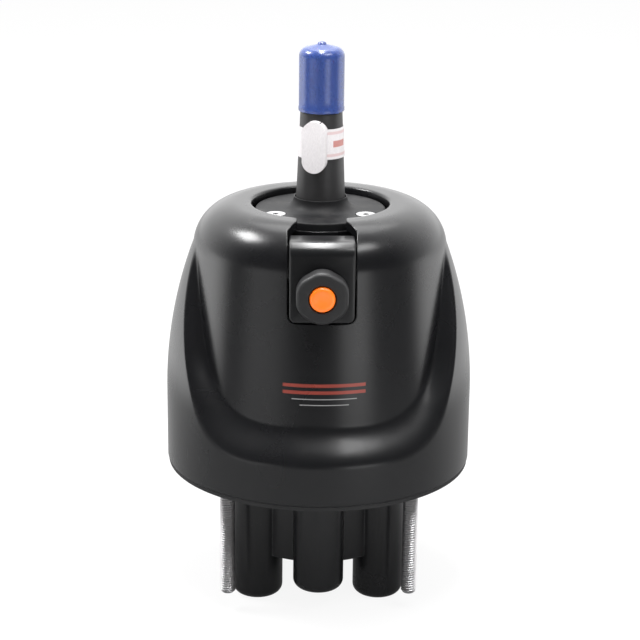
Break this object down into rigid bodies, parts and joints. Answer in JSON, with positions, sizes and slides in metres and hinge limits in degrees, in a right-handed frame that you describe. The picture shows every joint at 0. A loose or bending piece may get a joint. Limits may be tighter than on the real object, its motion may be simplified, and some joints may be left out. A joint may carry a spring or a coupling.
{
  "type": "hydraulic helm pump",
  "caption": "Dash-mounted hydraulic helm pump: bell cover over an axial piston pump, tapered wheel shaft, vented filler plug and a lobed rear casting with threaded ports and studs.",
  "frame": {"origin": "where the shaft axis meets the dash face, the underside of the gasket", "axes": "+Z along the shaft towards the wheel, -Y towards the filler plug, +X to the right seen from the filler side"},
  "size_m": [0.122, 0.122, 0.2209],
  "materials": {
    "bell_cover": "semi-gloss black moulding",
    "cover_screws": "zinc plated",
    "dash_gasket": "closed-cell rubber",
    "front_housing": "black anodised casting",
    "rear_flange": "black anodised casting",
    "rear_housing": "black anodised casting",
    "housing_seal": "nitrile",
    "housing_screws": "zinc plated",
    "mounting_studs": "stainless",
    "filler_block": "black anodised",
    "seal_retainer": "black anodised",
    "retainer_screws": "stainless",
    "shaft_seal": "brown seal rubber",
    "bearing_outer": "ground",
    "swash_plate": "machined",
    "swash_race": "hardened and ground",
    "valve_plate": "lapped",
    "tail_bush": "sintered",
    "valve_seats": "ground",
    "valve_plugs": "zinc plated",
    "comp_plug": "zinc plated",
    "check_spring_left": "spring wire",
    "check_spring_right": "spring wire",
    "helm_shaft": "dark phosphate",
    "shaft_key": "bright steel",
    "shaft_label": "white film",
    "bearing_inner": "ground",
    "cylinder_rotor": "machined",
    "pistons": "ground",
    "piston_springs": "spring wire",
    "bearing_balls": "polished",
    "bearing_cage": "machined",
    "shaft_cap": "blue vinyl",
    "vent_seal": "nitrile",
    "vent_plug": "black moulding",
    "vent_button": "orange moulding",
    "lock_spool": "ground",
    "check_poppet_left": "ground",
    "check_poppet_right": "ground"
  },
  "bodies": {
    "housing": {"bell_cover": "bell_cover", "cover_screws": "cover_screws", "dash_gasket": "dash_gasket", "front_housing": "front_housing", "rear_flange": "rear_flange", "rear_housing": "rear_housing", "housing_seal": "housing_seal", "housing_screws": "housing_screws", "mounting_studs": "mounting_studs", "filler_block": "filler_block", "seal_retainer": "seal_retainer", "retainer_screws": "retainer_screws", "shaft_seal": "shaft_seal", "bearing_outer": "bearing_outer", "swash_plate": "swash_plate", "swash_race": "swash_race", "valve_plate": "valve_plate", "tail_bush": "tail_bush", "valve_seats": "valve_seats", "valve_plugs": "valve_plugs", "comp_plug": "comp_plug", "check_spring_left": "check_spring_left", "check_spring_right": "check_spring_right"},
    "rotor": {"helm_shaft": "helm_shaft", "shaft_key": "shaft_key", "shaft_label": "shaft_label", "bearing_inner": "bearing_inner", "cylinder_rotor": "cylinder_rotor", "pistons": "pistons", "piston_springs": "piston_springs"},
    "ball_set": {"bearing_balls": "bearing_balls", "bearing_cage": "bearing_cage"},
    "cap": {"shaft_cap": "shaft_cap"},
    "vent_carrier": {"vent_seal": "vent_seal"},
    "vent": {"vent_plug": "vent_plug", "vent_button": "vent_button"},
    "spool": {"lock_spool": "lock_spool"},
    "poppet_left": {"check_poppet_left": "check_poppet_left"},
    "poppet_right": {"check_poppet_right": "check_poppet_right"}
  },
  "joints": [
    {"name": "helm_turn", "type": "hinge", "parent": "housing", "child": "rotor", "pos_m": [0, 0, 0], "axis": [0, 0, 1], "continuous": true},
    {"name": "ball_turn", "type": "hinge", "parent": "housing", "child": "ball_set", "pos_m": [0, 0, 0], "axis": [0, 0, 1], "continuous": true},
    {"name": "cap_pull", "type": "slide", "parent": "rotor", "child": "cap", "axis": [0, 0, 1], "range_m": [0, 0.035]},
    {"name": "vent_lift", "type": "slide", "parent": "housing", "child": "vent_carrier", "axis": [0, -1, 0], "range_m": [0, 0.0105]},
    {"name": "vent_turn", "type": "hinge", "parent": "vent_carrier", "child": "vent", "pos_m": [0, -0.0516, 0.0835], "axis": [0, -1, 0], "range_deg": [0, 2520]},
    {"name": "spool_shift", "type": "slide", "parent": "housing", "child": "spool", "axis": [1, 0, 0], "range_m": [-0.0009, 0.0009]},
    {"name": "check_left_lift", "type": "slide", "parent": "housing", "child": "poppet_left", "axis": [-1, 0, 0], "range_m": [0, 0.0015], "stiffness_N_per_m": 400, "springref_m": -0.004, "deforming": ["check_spring_left"]},
    {"name": "check_right_lift", "type": "slide", "parent": "housing", "child": "poppet_right", "axis": [1, 0, 0], "range_m": [0, 0.0015], "stiffness_N_per_m": 400, "springref_m": -0.004, "deforming": ["check_spring_right"]}
  ],
  "couplings": [
    {"joint": "ball_turn", "follows": "helm_turn", "ratio": 0.398},
    {"joint": "vent_turn", "follows": "vent_lift", "rad_per_m": 4188.8}
  ]
}
